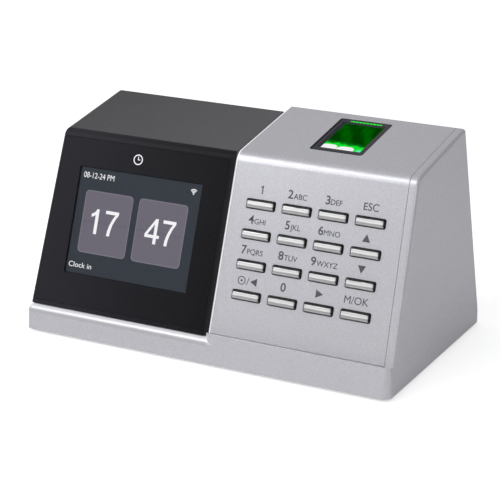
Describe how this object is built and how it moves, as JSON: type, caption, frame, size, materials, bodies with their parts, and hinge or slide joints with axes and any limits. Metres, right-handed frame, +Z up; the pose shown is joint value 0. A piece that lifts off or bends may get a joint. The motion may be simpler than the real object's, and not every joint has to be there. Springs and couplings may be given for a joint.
{
  "type": "punch time clock",
  "caption": "Desktop punch time clock with a wedge-shaped housing, colour display, bar keypad and fingerprint reader on top.",
  "frame": {"origin": "bottom centre, on the plane the rubber feet stand on", "axes": "+Z up, front (display and keypad) towards -Y, +X towards the keypad side"},
  "size_m": [0.1644, 0.0956, 0.0888],
  "materials": {
    "silver_shell": "satin silver paint with a fine metallic fleck",
    "black_gloss": "satin black",
    "lens_black": "smooth dark window, clear over the screen area",
    "black_matte": "fine-textured charcoal",
    "lcd_glass": "lit colour display",
    "white_plastic": "moulded",
    "steel_sheet": "stamped sheet",
    "flex_film": "amber polyimide film",
    "screw_steel": "zinc plated",
    "silicone": "matt grey silicone",
    "circuit_board": "green solder mask",
    "reader_frame": "dark satin surround",
    "reader_glass": "dark green lit glass",
    "reader_led": "lit green light guide",
    "black_plastic": "fine moulded texture",
    "foot_rubber": "matt",
    "chip_black": "moulded package",
    "cell_steel": "plain",
    "connector_black": "moulded",
    "connector_steel": "plated shell",
    "speaker_black": "paper cone and frame",
    "key_chrome": "satin chrome plating",
    "legend_ink": "printed legend",
    "screen_tile": "lit display element",
    "screen_text": "lit display element",
    "lens_clear": "clear window over the screen",
    "contact_gold": "gold-plated spring contacts"
  },
  "bodies": {
    "housing": {"base_housing": "silver_shell", "keypad_cover": "silver_shell", "display_bezel": "black_gloss", "display_lens": "lens_black", "display_hood": "black_matte", "lcd_panel": "lcd_glass", "lcd_backlight_frame": "white_plastic", "lcd_bracket": "steel_sheet", "lcd_ribbon": "flex_film", "display_screws": "screw_steel", "keypad_membrane": "silicone", "keypad_board": "circuit_board", "keypad_screws": "screw_steel", "keypad_ribbon": "flex_film", "fingerprint_frame": "reader_frame", "fingerprint_window": "reader_glass", "reader_light": "reader_led", "sensor_housing": "black_plastic", "sensor_screws": "screw_steel", "sensor_light_board": "circuit_board", "sensor_camera_board": "circuit_board", "sensor_ribbon": "flex_film", "bottom_plate": "black_plastic", "rubber_feet": "foot_rubber", "base_screws": "screw_steel", "main_board": "circuit_board", "board_screws": "screw_steel", "board_chips": "chip_black", "coin_cell_holder": "black_plastic", "coin_cell": "cell_steel", "wifi_module": "steel_sheet", "wifi_antenna": "flex_film", "rj45_jack": "connector_black", "usb_port": "connector_steel", "dc_jack": "connector_black", "reset_switch": "chip_black", "rear_io_panel": "black_plastic", "speaker": "speaker_black", "speaker_cable": "connector_black"},
    "key_1_cap": {"key_1": "key_chrome"},
    "key_2_cap": {"key_2": "key_chrome"},
    "key_3_cap": {"key_3": "key_chrome"},
    "key_esc_cap": {"key_esc": "key_chrome"},
    "key_4_cap": {"key_4": "key_chrome"},
    "key_5_cap": {"key_5": "key_chrome"},
    "key_6_cap": {"key_6": "key_chrome"},
    "key_up_cap": {"key_up": "key_chrome"},
    "key_7_cap": {"key_7": "key_chrome"},
    "key_8_cap": {"key_8": "key_chrome"},
    "key_9_cap": {"key_9": "key_chrome"},
    "key_down_cap": {"key_down": "key_chrome"},
    "key_power_cap": {"key_power": "key_chrome"},
    "key_0_cap": {"key_0": "key_chrome"},
    "key_right_cap": {"key_right": "key_chrome"},
    "key_ok_cap": {"key_ok": "key_chrome"},
    "reset_cap": {"reset_button": "white_plastic"}
  },
  "joints": [
    {"name": "key_1_press", "type": "slide", "parent": "housing", "child": "key_1_cap", "axis": [0, 0.9391, -0.3437], "range_m": [0, 0.0008], "stiffness_N_per_m": 100, "springref_m": -0.001, "deforming": ["keypad_membrane"]},
    {"name": "key_2_press", "type": "slide", "parent": "housing", "child": "key_2_cap", "axis": [0, 0.9391, -0.3437], "range_m": [0, 0.0008], "stiffness_N_per_m": 100, "springref_m": -0.001, "deforming": ["keypad_membrane"]},
    {"name": "key_3_press", "type": "slide", "parent": "housing", "child": "key_3_cap", "axis": [0, 0.9391, -0.3437], "range_m": [0, 0.0008], "stiffness_N_per_m": 100, "springref_m": -0.001, "deforming": ["keypad_membrane"]},
    {"name": "key_esc_press", "type": "slide", "parent": "housing", "child": "key_esc_cap", "axis": [0, 0.9391, -0.3437], "range_m": [0, 0.0008], "stiffness_N_per_m": 100, "springref_m": -0.001, "deforming": ["keypad_membrane"]},
    {"name": "key_4_press", "type": "slide", "parent": "housing", "child": "key_4_cap", "axis": [0, 0.9391, -0.3437], "range_m": [0, 0.0008], "stiffness_N_per_m": 100, "springref_m": -0.001, "deforming": ["keypad_membrane"]},
    {"name": "key_5_press", "type": "slide", "parent": "housing", "child": "key_5_cap", "axis": [0, 0.9391, -0.3437], "range_m": [0, 0.0008], "stiffness_N_per_m": 100, "springref_m": -0.001, "deforming": ["keypad_membrane"]},
    {"name": "key_6_press", "type": "slide", "parent": "housing", "child": "key_6_cap", "axis": [0, 0.9391, -0.3437], "range_m": [0, 0.0008], "stiffness_N_per_m": 100, "springref_m": -0.001, "deforming": ["keypad_membrane"]},
    {"name": "key_up_press", "type": "slide", "parent": "housing", "child": "key_up_cap", "axis": [0, 0.9391, -0.3437], "range_m": [0, 0.0008], "stiffness_N_per_m": 100, "springref_m": -0.001, "deforming": ["keypad_membrane"]},
    {"name": "key_7_press", "type": "slide", "parent": "housing", "child": "key_7_cap", "axis": [0, 0.9391, -0.3437], "range_m": [0, 0.0008], "stiffness_N_per_m": 100, "springref_m": -0.001, "deforming": ["keypad_membrane"]},
    {"name": "key_8_press", "type": "slide", "parent": "housing", "child": "key_8_cap", "axis": [0, 0.9391, -0.3437], "range_m": [0, 0.0008], "stiffness_N_per_m": 100, "springref_m": -0.001, "deforming": ["keypad_membrane"]},
    {"name": "key_9_press", "type": "slide", "parent": "housing", "child": "key_9_cap", "axis": [0, 0.9391, -0.3437], "range_m": [0, 0.0008], "stiffness_N_per_m": 100, "springref_m": -0.001, "deforming": ["keypad_membrane"]},
    {"name": "key_down_press", "type": "slide", "parent": "housing", "child": "key_down_cap", "axis": [0, 0.9391, -0.3437], "range_m": [0, 0.0008], "stiffness_N_per_m": 100, "springref_m": -0.001, "deforming": ["keypad_membrane"]},
    {"name": "key_power_press", "type": "slide", "parent": "housing", "child": "key_power_cap", "axis": [0, 0.9391, -0.3437], "range_m": [0, 0.0008], "stiffness_N_per_m": 100, "springref_m": -0.001, "deforming": ["keypad_membrane"]},
    {"name": "key_0_press", "type": "slide", "parent": "housing", "child": "key_0_cap", "axis": [0, 0.9391, -0.3437], "range_m": [0, 0.0008], "stiffness_N_per_m": 100, "springref_m": -0.001, "deforming": ["keypad_membrane"]},
    {"name": "key_right_press", "type": "slide", "parent": "housing", "child": "key_right_cap", "axis": [0, 0.9391, -0.3437], "range_m": [0, 0.0008], "stiffness_N_per_m": 100, "springref_m": -0.001, "deforming": ["keypad_membrane"]},
    {"name": "key_ok_press", "type": "slide", "parent": "housing", "child": "key_ok_cap", "axis": [0, 0.9391, -0.3437], "range_m": [0, 0.0008], "stiffness_N_per_m": 100, "springref_m": -0.001, "deforming": ["keypad_membrane"]},
    {"name": "reset_press", "type": "slide", "parent": "housing", "child": "reset_cap", "axis": [0, -1, 0], "range_m": [0, 0.0005], "stiffness_N_per_m": 10, "springref_m": -0.001}
  ]
}
